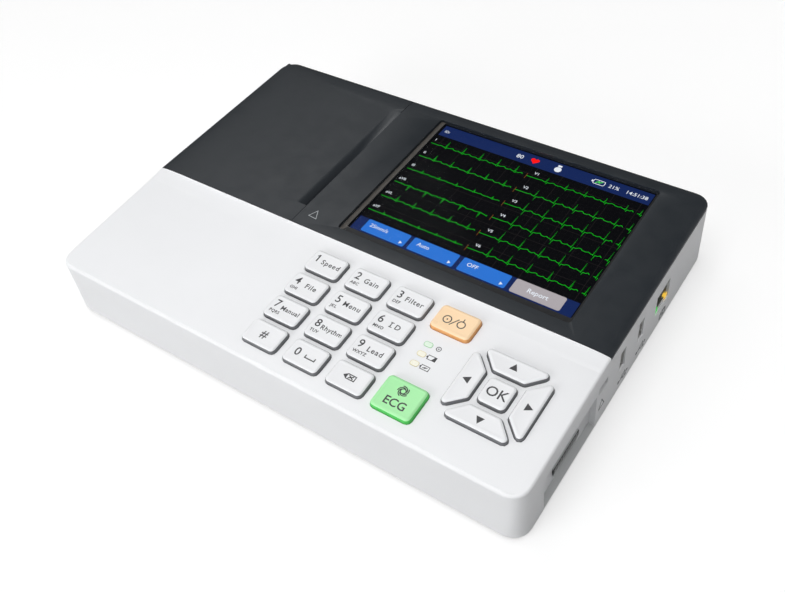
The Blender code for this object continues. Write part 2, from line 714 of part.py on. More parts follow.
def make_side_socket(name, centre, outer, inner, depth, length, finish_material, setback=0.3):
    x1 = RIGHT - setback
    socket = finish(name, along_x(centred(outer, *centre), x1 - length, x1), PARTS, finish_material)
    cut(socket, name + "_mouth", along_x(centred(inner, *centre), x1 - depth, x1 + 5))


def make_sockets():
    make_side_socket("lan_jack", LAN, (16.0, 13.5), (11.8, 8.6), 11.0, 15.5, STEEL)
    make_side_socket("usb_port_front", USB_FRONT, (5.7, 13.1), (4.6, 12.0), 9.0, 14.0, STEEL)
    make_side_socket("usb_port_rear", USB_REAR, (5.7, 13.1), (4.6, 12.0), 9.0, 14.0, STEEL)
    make_side_socket("micro_usb_port", MICRO, (7.6, 2.6), (6.6, 1.7), 4.5, 6.0, STEEL, 1.0)
    y, z = LEAD
    back_face = RIGHT - RECESS - 2.3 - GAP
    lead = along_x(centred((39.2, 12.0), *LEAD), back_face - 1.2, back_face)
    lead = finish("patient_connector", lead, PARTS, INNER)
    face = RIGHT - RECESS + 0.4
    join(lead, "lead_shell", along_x(d_outline(26.0, 9.4, 1.6), back_face - 1.0, face, y=y, z=z))
    join(lead, "lead_body", along_x(centred((26.0, 10.0), *LEAD), 128.2, back_face - 0.6))
    inlet = along_y(centred((27.5, 20.0), *INLET), 82, BACK - 0.3)
    inlet = finish("power_inlet", inlet, PARTS, INNER)
    mouth = [(-12, -8), (12, -8), (12, 3.5), (7.5, 8), (-7.5, 8), (-12, 3.5)]
    cut(inlet, "inlet_mouth", along_y(mouth, 89, BACK + 5, INLET[0], INLET[1]))


# bottom


def make_base():
    outline = rounded(grow(centred((WIDTH, DEPTH)), -WALL - GAP), CORNER - WALL - GAP, 4)
    base = finish("base_cover", prism(outline, FOOT, FOOT + BASE), PARTS, WHITE)
    cut(base, "battery_door", prism(rounded(rectangle(*BATTERY_BAY), 2.0, 2), 0, 10))
    cut(base, "screw_holes", at_screws(1.7, 10, 0, 10))
    cut(base, "screw_heads", at_screws(3.2, 12, 0, FOOT + 1.5))
    slots = []
    for index in range(5):
        x = SPEAKER[0] + (index - 2) * 4.5
        slots.append(box(x - 0.9, x + 0.9, SPEAKER[1] - 9, SPEAKER[1] + 9, 0, 10))
    for index in range(6):
        x = 60 + index * 7.0
        slots.append(box(x - 1.2, x + 1.2, 20, 50, 0, 10))
    cut(base, "slots", together(*slots))
    cover = rounded(grow(rectangle(*BATTERY_BAY), -GAP), 2.0 - GAP, 2)
    finish("battery_cover", prism(cover, FOOT, FOOT + BASE - 0.3), PARTS, WHITE)
    x0, x1, y0, y1 = BATTERY_BAY
    pack = rounded(rectangle(x0 + 2, x1 - 2, y0 + 2, y1 - 2), 3.0, 2)
    finish("battery_pack", prism(pack, 5.3, 24.0), PARTS, GREY)
    x, y = SPEAKER
    finish("speaker", raised(circle(14, 20, x, y), 5.3, [(0, 3.0), (3.0, 2.0)]), PARTS, INNER)


def make_feet_and_screws():
    corners = [("front_left", -1, -1), ("front_right", 1, -1), ("rear_left", -1, 1), ("rear_right", 1, 1)]
    for name, side, end in corners:
        foot = rod(6.4, 16, 0, 2.2)
        finish("foot_" + name, foot, PARTS, RUBBER, (side * FEET[0], end * FEET[1], 0))
        head = raised(circle(2.9, 12), 0, [(0, 1.1), (1.6, 0), (0, 11.0)])
        finish("screw_" + name, head, PARTS, STEEL, (side * SCREWS[0], end * SCREWS[1], FOOT + 0.2))


make_upper_housing()
make_screen_panel()
make_keys()
make_lights()
make_keypad_inside()
make_printer_door()
make_hinge_pin()
make_platen()
make_gears()
make_printer_drive()
make_printhead()
make_paper_bay()
make_boards()
make_sockets()
make_base()
make_feet_and_screws()
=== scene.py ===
"""Looks of the desktop ECG machine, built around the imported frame.

Lengths are in millimetres until a mesh is made.
"""

import math

import bmesh
import bpy
from mathutils import Matrix, Vector


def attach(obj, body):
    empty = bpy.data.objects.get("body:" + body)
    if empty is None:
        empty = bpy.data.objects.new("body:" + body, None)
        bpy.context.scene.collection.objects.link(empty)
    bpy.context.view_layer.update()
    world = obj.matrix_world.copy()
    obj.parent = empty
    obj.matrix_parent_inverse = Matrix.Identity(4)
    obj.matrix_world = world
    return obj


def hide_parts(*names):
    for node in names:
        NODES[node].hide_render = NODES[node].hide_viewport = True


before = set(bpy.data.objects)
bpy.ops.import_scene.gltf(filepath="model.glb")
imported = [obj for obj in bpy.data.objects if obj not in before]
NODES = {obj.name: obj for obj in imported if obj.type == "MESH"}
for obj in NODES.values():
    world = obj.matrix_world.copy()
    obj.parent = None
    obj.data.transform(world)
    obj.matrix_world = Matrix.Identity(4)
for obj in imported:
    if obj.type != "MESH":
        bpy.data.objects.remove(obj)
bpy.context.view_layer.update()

MM = 0.001

# the deck's plane, as the CAD has it
BOUNDARY, DECK, SLOPE = -19.4, 41.14, math.atan(0.0491)
DECK_FRAME = Matrix.Translation((0, BOUNDARY, DECK)) @ Matrix.Rotation(SLOPE, 4, "X")

# the window in the panel and the ledge under the glass, as x0, x1, y0, y1
WINDOW = (-19.3, 119.7, -10.8, 95.7)
LEDGE = (-16.2, 118.2, -6.2, 95.2)


# ---------------------------------------------------------------- outlines


def rectangle(x0, x1, y0, y1):
    return [(x0, y0), (x1, y0), (x1, y1), (x0, y1)]


def centred(size, x=0.0, y=0.0):
    return rectangle(x - size[0] / 2, x + size[0] / 2, y - size[1] / 2, y + size[1] / 2)


def unit(start, end):
    length = math.hypot(end[0] - start[0], end[1] - start[1])
    return (end[0] - start[0]) / length, (end[1] - start[1]) / length


def corners_of(points):
    return zip(points[-1:] + points[:-1], points, points[1:] + points[:1])


def grow(points, distance):
    """Moves each side of a convex outline outwards by distance."""
    grown = []
    for before, point, after in corners_of(points):
        (ax, ay), (bx, by) = unit(before, point), unit(point, after)
        reach = distance / (1.0 + ax * bx + ay * by)
        grown.append((point[0] + (ay + by) * reach, point[1] - (ax + bx) * reach))
    return grown


def rounded(points, radius, segments=6):
    """Replaces each corner of a convex outline by an arc."""
    outline = []
    for before, point, after in corners_of(points):
        (ax, ay), (bx, by) = unit(before, point), unit(point, after)
        turn = math.atan2(ax * by - ay * bx, ax * bx + ay * by)
        back = radius * math.tan(turn / 2)
        centre = (point[0] - ax * back - ay * radius, point[1] - ay * back + ax * radius)
        start = math.atan2(-ax, ay)
        for step in range(segments + 1):
            angle = start + turn * step / segments
            outline.append((centre[0] + radius * math.cos(angle), centre[1] + radius * math.sin(angle)))
    return outline


def circle(radius, sides, x=0.0, y=0.0):
    turns = [2 * math.pi * step / sides for step in range(sides)]
    return [(x + radius * math.cos(turn), y + radius * math.sin(turn)) for turn in turns]


# ---------------------------------------------------------------- solids

SHARPEST = 0.15  # keeps the mitre of a line's sharp turn short
CAPITAL = 0.729  # height of a capital at a text size of 1


def loft(bm, rings, slots=None, cap_slot=0):
    """A closed solid through rings of equal length; slots gives each band's material."""
    loops = [[bm.verts.new(point) for point in ring] for ring in rings]
    made = [bm.faces.new(loops[0]), bm.faces.new(loops[-1])]
    made[1].material_index = cap_slot
    made[0].material_index = slots[0] if slots else 0
    for band, (here, there) in enumerate(zip(loops, loops[1:])):
        for quad in zip(here, here[1:] + here[:1], there[1:] + there[:1], there):
            face = bm.faces.new(quad)
            face.material_index = slots[band] if slots else 0
            made.append(face)
    bmesh.ops.recalc_face_normals(bm, faces=made)
    return made


def slab(bm, outline, bottom, top, slot=0):
    return loft(bm, [[(x, y, z) for x, y in outline] for z in (bottom, top)], [slot], slot)


def ribbon(bm, points, width, bottom, top):
    """A flat line of the given width through points; it closes on itself if the last point is the first."""
    closed = math.dist(points[0], points[-1]) < 1e-6
    if closed:
        points = points[:-1]
    left, right = [], []
    for index, point in enumerate(points):
        first, last = index == 0 and not closed, index == len(points) - 1 and not closed
        after = point if last else points[(index + 1) % len(points)]
        before = point if first else points[index - 1]
        leave = unit(before, point) if last else unit(point, after)
        arrive = leave if first else unit(before, point)
        reach = width / 2 / max(1.0 + arrive[0] * leave[0] + arrive[1] * leave[1], SHARPEST)
        dx, dy = (arrive[0] + leave[0]) * reach, (arrive[1] + leave[1]) * reach
        left.append((point[0] - dy, point[1] + dx))
        right.append((point[0] + dy, point[1] - dx))
    loops = []
    for side, z in ((left, bottom), (left, top), (right, top), (right, bottom)):
        loop = [bm.verts.new((x, y, z)) for x, y in side]
        loops.append(loop + loop[:1] if closed else loop)
    faces = []
    for here, there in zip(loops, loops[1:] + loops[:1]):
        for quad in zip(here, here[1:], there[1:], there):
            faces.append(bm.faces.new(quad))
    if not closed:
        faces += [bm.faces.new([loop[end] for loop in loops]) for end in (0, -1)]
    bmesh.ops.recalc_face_normals(bm, faces=faces)


def ring_path(radius, start=0.0, end=360.0, x=0.0, y=0.0, steps=24):
    turns = [math.radians(start + (end - start) * step / steps) for step in range(steps + 1)]
    return [(x + radius * math.cos(turn), y + radius * math.sin(turn)) for turn in turns]


def lettering(bm, text, x, y, height, thickness=0.05, z=0.0, align="CENTER", weight=0.0, spacing=1.0):
    """Adds raised text: x and y are its baseline's anchor, height is that of a capital."""
    curve = bpy.data.curves.new("text", "FONT")
    curve.body = text
    curve.size = height / CAPITAL
    curve.align_x = align
    curve.offset = weight
    curve.space_character = spacing
    curve.extrude = thickness / 2
    curve.resolution_u = 3
    obj = bpy.data.objects.new("text", curve)
    bpy.context.scene.collection.objects.link(obj)
    bpy.context.view_layer.update()
    mesh = bpy.data.meshes.new_from_object(obj.evaluated_get(bpy.context.evaluated_depsgraph_get()))
    bpy.data.objects.remove(obj)
    bpy.data.curves.remove(curve)
    letters = bmesh.new()
    letters.from_mesh(mesh)
    bmesh.ops.remove_doubles(letters, verts=letters.verts[:], dist=0.0005)
    bmesh.ops.translate(letters, vec=(x, y, z + thickness / 2), verts=letters.verts[:])
    letters.to_mesh(mesh)
    letters.free()
    bm.from_mesh(mesh)
    bpy.data.meshes.remove(mesh)


def piece(name, bm, body, materials, replaces=(), smooth=40, frame_matrix=None):
    """Makes an object of a bmesh in millimetres, and lets it ride on a body."""
    if frame_matrix is not None:
        bmesh.ops.transform(bm, matrix=frame_matrix, verts=bm.verts[:])
    bmesh.ops.scale(bm, vec=(MM, MM, MM), verts=bm.verts[:])
    mesh = bpy.data.meshes.new(name)
    bm.to_mesh(mesh)
    bm.free()
    for material in materials:
        mesh.materials.append(material)
    mesh.shade_smooth()
    mesh.set_sharp_from_angle(angle=math.radians(smooth))
    obj = bpy.data.objects.new(name, mesh)
    bpy.context.scene.collection.objects.link(obj)
    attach(obj, body)
    if replaces:
        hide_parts(*replaces)
    return obj


def smooth_copy(node, body, material, bevel=0.0, angle=35):
    """A copy of a CAD node with smooth normals and, where asked, softened edges; it replaces the node."""
    mesh = NODES[node].data.copy()
    bm = bmesh.new()
    bm.from_mesh(mesh)
    bmesh.ops.remove_doubles(bm, verts=bm.verts[:], dist=0.000002)
    bmesh.ops.dissolve_limit(bm, angle_limit=math.radians(0.6), verts=bm.verts[:], edges=bm.edges[:])
    bm.to_mesh(mesh)
    bm.free()
    mesh.materials.clear()
    mesh.materials.append(material)
    for polygon in mesh.polygons:
        polygon.material_index = 0
    mesh.shade_smooth()
    mesh.set_sharp_from_angle(angle=math.radians(angle))
    obj = bpy.data.objects.new(node + "_skin", mesh)
    bpy.context.scene.collection.objects.link(obj)
    if bevel:
        softened = obj.modifiers.new("soft_edges", "BEVEL")
        softened.width = bevel * MM
        softened.segments = 2
        softened.limit_method = "ANGLE"
        softened.angle_limit = math.radians(40)
        softened.harden_normals = True
    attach(obj, body)
    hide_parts(node)
    return obj


# ---------------------------------------------------------------- materials


def shader_of(material):
    material.use_nodes = True
    return material.node_tree.nodes["Principled BSDF"]


def moulded(name, colour, roughness=0.4, grain=0.25, depth=0.00004, spread=0.04, metallic=0.0, specular=0.5):
    """A surface with uneven colour and gloss in broad patches, and a fine raised texture.

    grain is the texture's size in millimetres, and depth its height in metres.
    """
    material = bpy.data.materials.new(name)
    shader = shader_of(material)
    nodes, links = material.node_tree.nodes, material.node_tree.links
    shader.inputs["Metallic"].default_value = metallic
    shader.inputs["Specular IOR Level"].default_value = specular
    where = nodes.new("ShaderNodeTexCoord")

    def noise(size, detail):
        made = nodes.new("ShaderNodeTexNoise")
        made.inputs["Scale"].default_value = 1.0 / (size * MM)
        made.inputs["Detail"].default_value = detail
        links.new(where.outputs["Object"], made.inputs["Vector"])
        return made.outputs["Fac"]

    tint = nodes.new("ShaderNodeValToRGB")
    ends = tint.color_ramp.elements
    for end, place, factor in ((ends[0], 0.3, 1.0 - spread), (ends[1], 0.7, 1.0 + spread / 2)):
        end.position = place
        end.color = (*[min(channel * factor, 1.0) for channel in colour], 1.0)
    links.new(noise(40.0, 2.0), tint.inputs["Fac"])
    links.new(tint.outputs["Color"], shader.inputs["Base Color"])
    gloss = nodes.new("ShaderNodeMapRange")
    gloss.inputs["From Min"].default_value = 0.3
    gloss.inputs["From Max"].default_value = 0.7
    gloss.inputs["To Min"].default_value = roughness - 0.05
    gloss.inputs["To Max"].default_value = roughness + 0.06
    links.new(noise(9.0, 3.0), gloss.inputs["Value"])
    links.new(gloss.outputs["Result"], shader.inputs["Roughness"])
    bump = nodes.new("ShaderNodeBump")
    bump.inputs["Strength"].default_value = 0.6
    bump.inputs["Distance"].default_value = depth
    links.new(noise(grain, 2.0), bump.inputs["Height"])
    links.new(bump.outputs["Normal"], shader.inputs["Normal"])
    return material


def glowing(name, colour, strength=1.0):
    """A lit part of the display, with the faint unevenness of a backlight."""
    material = bpy.data.materials.new(name)
    shader = shader_of(material)
    nodes, links = material.node_tree.nodes, material.node_tree.links
    shader.inputs["Base Color"].default_value = (*[channel * 0.2 for channel in colour], 1.0)
    shader.inputs["Roughness"].default_value = 0.35
    shader.inputs["Specular IOR Level"].default_value = 0.04
    shader.inputs["Emission Strength"].default_value = strength
    where = nodes.new("ShaderNodeTexCoord")
    noise = nodes.new("ShaderNodeTexNoise")
    noise.inputs["Scale"].default_value = 25.0
    links.new(where.outputs["Object"], noise.inputs["Vector"])
    tint = nodes.new("ShaderNodeValToRGB")
    for end, factor in zip(tint.color_ramp.elements, (0.92, 1.0)):
        end.color = (*[channel * factor for channel in colour], 1.0)
    links.new(noise.outputs["Fac"], tint.inputs["Fac"])
    links.new(tint.outputs["Color"], shader.inputs["Emission Color"])
    return material


def srgb(red, green, blue):
    """Linear colour of an 8-bit screen colour."""
    channels = [channel / 255 for channel in (red, green, blue)]
    return tuple(((v + 0.055) / 1.055) ** 2.4 if v > 0.04045 else v / 12.92 for v in channels)


WHITE = moulded("white_casing", srgb(238, 239, 241), 0.42, grain=0.3, depth=0.00002, spread=0.012)
SLATE = moulded("slate_panel", srgb(34, 39, 44), 0.38, grain=0.35, depth=0.00002, spread=0.06)
CAP = moulded("key_white", srgb(236, 237, 239), 0.34, grain=0.4, depth=0.00001, spread=0.01)
# painted shade: each key's lower side takes a darker copy of its cap colour, standing in for the shade along
# the keys' sides
CAP_SIDE_SHADE = moulded("key_side_painted_shade", srgb(112, 114, 117), 0.4, grain=0.4, depth=0.00001, spread=0.02)
ORANGE = moulded("key_orange", srgb(253, 220, 178), 0.32, grain=0.4, depth=0.00001, spread=0.03)
ORANGE_SIDE_SHADE = moulded("key_orange_side_painted_shade", srgb(232, 165, 98), 0.32, grain=0.4, depth=0.00001, spread=0.03)
GREEN = moulded("key_green", srgb(170, 240, 172), 0.32, grain=0.4, depth=0.00001, spread=0.03)
GREEN_SIDE_SHADE = moulded("key_green_side_painted_shade", srgb(74, 205, 86), 0.32, grain=0.4, depth=0.00001, spread=0.03)
INK = moulded("ink", srgb(66, 66, 68), 0.55, grain=0.1, depth=0.000005, spread=0.05)
FAINT_INK = moulded("grey_ink", srgb(176, 180, 183), 0.55, grain=0.1, depth=0.000005, spread=0.05)
RING_GREEN = moulded("ring_green", srgb(132, 208, 140), 0.4, grain=0.1, depth=0.000005, spread=0.05)
RING_YELLOW = moulded("ring_yellow", srgb(222, 206, 140), 0.4, grain=0.1, depth=0.000005, spread=0.05)
BLACK = moulded("black_moulding", srgb(26, 27, 28), 0.5, grain=0.3, spread=0.1)
DARK = moulded("window_border", srgb(82, 78, 73), 0.45, grain=0.3, spread=0.05)
GREY = moulded("grey_moulding", srgb(120, 122, 124), 0.5, grain=0.4, spread=0.06)
STEEL = moulded("plated_steel", (0.62, 0.62, 0.61), 0.28, grain=0.5, depth=0.00001, spread=0.08, metallic=1.0)
GOLD = moulded("gold_contact", (0.85, 0.62, 0.25), 0.3, grain=0.2, depth=0.00001, spread=0.05, metallic=1.0)
RUBBER = moulded("rubber", srgb(30, 30, 31), 0.75, grain=0.5, depth=0.0001, spread=0.12)
SILICONE = moulded("silicone_sheet", srgb(176, 178, 178), 0.7, grain=0.6, depth=0.00004, spread=0.05)
BOARD = moulded("circuit_board", srgb(22, 88, 48), 0.4, grain=0.8, depth=0.00005, spread=0.2)
PAPER = moulded("chart_paper", srgb(240, 238, 234), 0.85, grain=0.12, depth=0.00003, spread=0.02)
NYLON = moulded("nylon", srgb(226, 222, 210), 0.45, grain=0.5, spread=0.03)
SCREEN = moulded("display_face", (0.003, 0.003, 0.004), 0.4, grain=0.2, depth=0.0, spread=0.1, specular=0.02)
LED_GREEN = moulded("light_guide_green", srgb(226, 244, 226), 0.25, grain=0.5, depth=0.00001, spread=0.02)
LED_YELLOW = moulded("light_guide_yellow", srgb(246, 244, 228), 0.25, grain=0.5, depth=0.00001, spread=0.02)
PALE = moulded("socket_plastic", srgb(214, 214, 212), 0.45, grain=0.3, depth=0.00001, spread=0.03)
SHELL = moulded("connector_shell", srgb(196, 199, 200), 0.45, grain=0.3, depth=0.00002, spread=0.04)
# painted shade: a grey sheet laid on the lead recess's sloping floor, darker than the white casing for the
# shade there
SILL_SHADE = moulded("sill_painted_shade", srgb(188, 190, 191), 0.5, grain=0.3, depth=0.00002, spread=0.03)
SIDE_INK = moulded("side_ink", srgb(92, 96, 98), 0.6, grain=0.1, depth=0.000005, spread=0.05)
LAN_GREEN = glowing("lan_green", srgb(58, 206, 76))
LAN_YELLOW = glowing("lan_yellow", srgb(236, 190, 70))


def window_glass():
    """A clear window: mostly see-through, with a faint reflection."""
    material = bpy.data.materials.new("window_glass")
    shader = shader_of(material)
    nodes, links = material.node_tree.nodes, material.node_tree.links
    shader.inputs["Base Color"].default_value = (0.01, 0.012, 0.016, 1.0)
    shader.inputs["Alpha"].default_value = 0.05
    shader.inputs["Specular IOR Level"].default_value = 0.12
    where = nodes.new("ShaderNodeTexCoord")
    noise = nodes.new("ShaderNodeTexNoise")
    noise.inputs["Scale"].default_value = 60.0
    links.new(where.outputs["Object"], noise.inputs["Vector"])
    gloss = nodes.new("ShaderNodeMapRange")
    gloss.inputs["To Min"].default_value = 0.04
    gloss.inputs["To Max"].default_value = 0.1
    links.new(noise.outputs["Fac"], gloss.inputs["Value"])
    links.new(gloss.outputs["Result"], shader.inputs["Roughness"])
    return material


GLASS = window_glass()

# ---------------------------------------------------------------- casing

smooth_copy("upper_housing", "casing", WHITE)
smooth_copy("screen_panel", "casing", SLATE, bevel=0.12)
smooth_copy("printer_door", "door", SLATE)

ROUND_PIECES = {
    "paper_roll": ("roll", PAPER, "paper"), "platen_roller": ("platen", RUBBER, "rubber"),
    "door_hinge_pin": ("casing", STEEL, "steel"), "stepper_motor": ("casing", STEEL, "steel"),
    "speaker": ("casing", BLACK, "black_plastic"),
}
for corner in ("front_left", "front_right", "rear_left", "rear_right"):
    ROUND_PIECES["foot_" + corner] = ("casing", RUBBER, "rubber")
    ROUND_PIECES["screw_" + corner] = ("casing", STEEL, "steel")
for node, (body, material, slot) in ROUND_PIECES.items():
    smooth_copy(node, body, material)

CARRIED = {
    "base_cover": WHITE, "battery_cover": WHITE, "display_glass": GLASS, "lcd_module": SCREEN,
    "keypad_membrane": SILICONE, "keypad_board": BOARD, "main_board": BOARD, "power_board": BOARD,
    "platen_gear": NYLON, "idler_gear": NYLON,
    "motor_pinion": STEEL, "gear_plate": STEEL, "thermal_printhead": GREY,
    "printhead_bracket": STEEL, "paper_tray": BLACK, "lan_jack": STEEL,
    "usb_port_front": STEEL, "usb_port_rear": STEEL, "micro_usb_port": BLACK, "patient_connector": SHELL,
    "power_inlet": BLACK, "battery_pack": GREY,
    "run_light": LED_GREEN, "battery_light": LED_YELLOW, "charge_light": LED_YELLOW,
}
for node, material in CARRIED.items():
    slots = NODES[node].material_slots
    for slot in slots:
        slot.material = material

# ---------------------------------------------------------------- keys

KEY_SIZE, KEY_PITCH, FIRST_KEY = (21.3, 14.5), (26.15, 17.25), (-6.9, -17.15)
KEY_RADIUS, ARROW_RADIUS, LEAST_RADIUS = 2.6, 2.2, 0.7
POWER_KEY, POWER_SIZE = (72.1, -17.3), (22.3, 15.2)
ECG_KEY, ECG_SIZE = (72.1, -66.8), (22.3, 19.1)
PAD, OK_SIZE = (109.8, -43.2), (14.6, 14.8)
PAD_INNER, PAD_OUTER, PAD_SHORT, PAD_LONG = 10.1, 21.2, 8.3, 19.0
# a cap's section as (inset, height): a lower side painted darker as shade, a soft raised rim and a slightly
# sunk top
CAP_PROFILE = [
    (0.0, -2.6), (0.0, 1.0), (0.12, 1.45), (0.38, 1.85), (0.75, 2.15),
    (1.15, 2.32), (1.5, 2.4), (1.8, 2.4), (2.1, 2.34), (2.4, 2.3),
]
# the lowest bands, which take the side material of painted shade
SHADED_SIDE_BANDS = 3
INK_Z, INK_TOP, INK_DEPTH = 2.29, 2.36, 0.07
DIGIT, SMALL_LETTER = 4.8, 1.8
LEGENDS = [
    ("1", "Speed", ""), ("2", "Gain", "ABC"), ("3", "Filter", "DEF"),
    ("4", "File", "GHI"), ("5", "Menu", "JKL"), ("6", "I D", "MNO"),
    ("7", "Manual", "PQRS"), ("8", "Rhythm", "TUV"), ("9", "Lead", "WXYZ"),
]
# height of a capital and letter spacing of the words
WORD_SIZE = {"Manual": (2.7, 1.1), "Rhythm": (2.8, 1.1)}
USUAL_WORD = (3.1, 1.16)


def key_cap(node, points, radius, side, top):
    """A cap that stands for the node; its lower side is a darker band of painted shade."""
    bm = bmesh.new()
    rings = []
    for inset, z in CAP_PROFILE:
        outline = rounded(grow(points, -inset), max(radius - inset, LEAST_RADIUS), 7)
        rings.append([(x, y, z) for x, y in outline])
    loft(bm, rings, [1] * SHADED_SIDE_BANDS + [0] * (len(rings) - 1 - SHADED_SIDE_BANDS), 0)
    piece(node + "_cap", bm, node + "_cap", [top, side], [node], 50, DECK_FRAME)


def legend(node, draw):
    bm = bmesh.new()
    draw(bm)
    piece(node + "_legend", bm, node + "_cap", [INK], frame_matrix=DECK_FRAME)


def ink_text(bm, text, x, y, height, weight=0.05, align="CENTER", spacing=1.0):
    lettering(bm, text, x, y, height, INK_DEPTH, INK_Z, align, weight, spacing)


def ink_line(bm, points, width):
    ribbon(bm, points, width, INK_Z, INK_TOP)


def ink_fill(bm, outline):
    slab(bm, outline, INK_Z, INK_TOP)


def word_legend(x, y, digit, word, letters):
    """A tall digit with small letters under it, and a word to its right."""

    def draw(bm):
        ink_text(bm, digit, x - 6.4, y - 0.6, DIGIT)
        if digit == "1":  # the font's 1 is a plain stroke, so a flag is added
            ink_line(bm, [(x - 7.5, y + 2.7), (x - 6.3, y + 3.9)], 0.55)
        size, spacing = WORD_SIZE.get(word, USUAL_WORD)
        ink_text(bm, word, x + 2.5, y - 1.0, size, spacing=spacing)
        if word == "I D":  # the bars at the ends of the I
            for rise in (-0.85, 1.95):
                ink_line(bm, [(x - 0.8, y + rise), (x + 1.1, y + rise)], 0.4)
        if letters:
            ink_text(bm, letters, x - 8.2, y - 4.1, SMALL_LETTER, 0.045, "LEFT", 1.1)

    return draw


def make_keypad():
    for index, (digit, word, letters) in enumerate(LEGENDS):
        row, column = divmod(index, 3)
        x, y = FIRST_KEY[0] + column * KEY_PITCH[0], FIRST_KEY[1] - row * KEY_PITCH[1]
        node = "key_" + digit
        key_cap(node, centred(KEY_SIZE, x, y), KEY_RADIUS, CAP_SIDE_SHADE, CAP)
        legend(node, word_legend(x, y, digit, word, letters))
    bottom = FIRST_KEY[1] - 3 * KEY_PITCH[1]
    xs = [FIRST_KEY[0] + column * KEY_PITCH[0] for column in range(3)]
    for node, x in zip(("key_hash", "key_0", "key_delete"), xs):
        key_cap(node, centred(KEY_SIZE, x, bottom), KEY_RADIUS, CAP_SIDE_SHADE, CAP)

    def draw_hash(bm):
        ink_text(bm, "#", xs[0], bottom - 2.2, DIGIT, 0.06)

    def draw_zero(bm):
        ink_text(bm, "0", xs[1] - 4.9, bottom - 2.2, DIGIT)
        x, y = xs[1] + 0.2, bottom + 0.3
        ink_line(bm, [(x, y), (x, y - 1.7), (x + 5.6, y - 1.7), (x + 5.6, y)], 0.6)

    def draw_delete(bm):
        x, y = xs[2], bottom
        ink_fill(bm, [(x - 3.6, y), (x - 1.4, y - 1.6), (x - 1.4, y + 1.6)])
        ends = [(x - 1.6, y - 1.35), (x + 3.2, y - 1.35), (x + 3.2, y + 1.35), (x - 1.6, y + 1.35)]
        ink_line(bm, ends, 0.5)
        for rise in (-1, 1):
            ink_line(bm, [(x - 0.5, y - 0.8 * rise), (x + 2.2, y + 0.8 * rise)], 0.55)

    legend("key_hash", draw_hash)
    legend("key_0", draw_zero)
    legend("key_delete", draw_delete)


def make_power_key():
    """The orange key, with a standby mark: a dotted ring, a stroke, and a ring with a stem."""
    x, y = POWER_KEY
    key_cap("power_key", centred(POWER_SIZE, x, y), KEY_RADIUS, ORANGE_SIDE_SHADE, ORANGE)

    def draw(bm):
        ink_line(bm, ring_path(2.1, x=x - 4.4, y=y - 0.5), 0.55)
        ink_fill(bm, circle(0.42, 12, x - 4.4, y - 0.5))
        ink_line(bm, [(x - 2.1, y - 3.0), (x + 1.1, y + 1.9)], 0.5)
        ink_line(bm, ring_path(2.0, x=x + 3.4, y=y - 0.5), 0.55)
        ink_line(bm, [(x + 3.4, y + 1.4), (x + 3.4, y + 3.3)], 0.5)

    legend("power_key", draw)


def make_ecg_key():
    """The green key, with a five-bladed mark above its letters."""
    x, y = ECG_KEY
    key_cap("ecg_key", centred(ECG_SIZE, x, y), KEY_RADIUS, GREEN_SIDE_SHADE, GREEN)

    def draw(bm):
        ink_text(bm, "ECG", x, y - 5.7, 4.5, 0.07)
        cx, cy = x - 0.1, y + 3.6
        ink_line(bm, ring_path(1.35, x=cx, y=cy, steps=18), 0.5)
        for blade in range(5):
            start = 72 * blade
            sweep = [(1.5 + 1.4 * part / 6, math.radians(start + 20 * part)) for part in range(7)]
            ink_line(bm, [(cx + r * math.cos(t), cy + r * math.sin(t)) for r, t in sweep], 0.5)

    legend("ecg_key", draw)


def make_arrow_pad():
    key_cap("ok_key", centred(OK_SIZE, *PAD), KEY_RADIUS, CAP_SIDE_SHADE, CAP)
    legend("ok_key", lambda bm: ink_text(bm, "OK", PAD[0], PAD[1] - 2.6, 5.4))
    wedge = [(PAD_SHORT, PAD_INNER), (PAD_LONG, PAD_OUTER), (-PAD_LONG, PAD_OUTER), (-PAD_SHORT, PAD_INNER)]
    mark = [(-2.1, 14.5), (2.1, 14.5), (0.0, 18.2)]
    for quarter, node in enumerate(("arrow_up", "arrow_left", "arrow_down", "arrow_right")):
        cos, sin = round(math.cos(quarter * math.pi / 2)), round(math.sin(quarter * math.pi / 2))

        def turned(points):
            return [(PAD[0] + x * cos - y * sin, PAD[1] + x * sin + y * cos) for x, y in points]

        key_cap(node, turned(wedge), ARROW_RADIUS, CAP_SIDE_SHADE, CAP)
        legend(node, lambda bm: ink_fill(bm, turned(mark)))


# ---------------------------------------------------------------- lights and their marks


FIRST_LIGHT, LIGHT_PITCH = (66.8, -33.8), 6.2
MARK_TOP, FINE_MARK_TOP = 0.05, 0.055


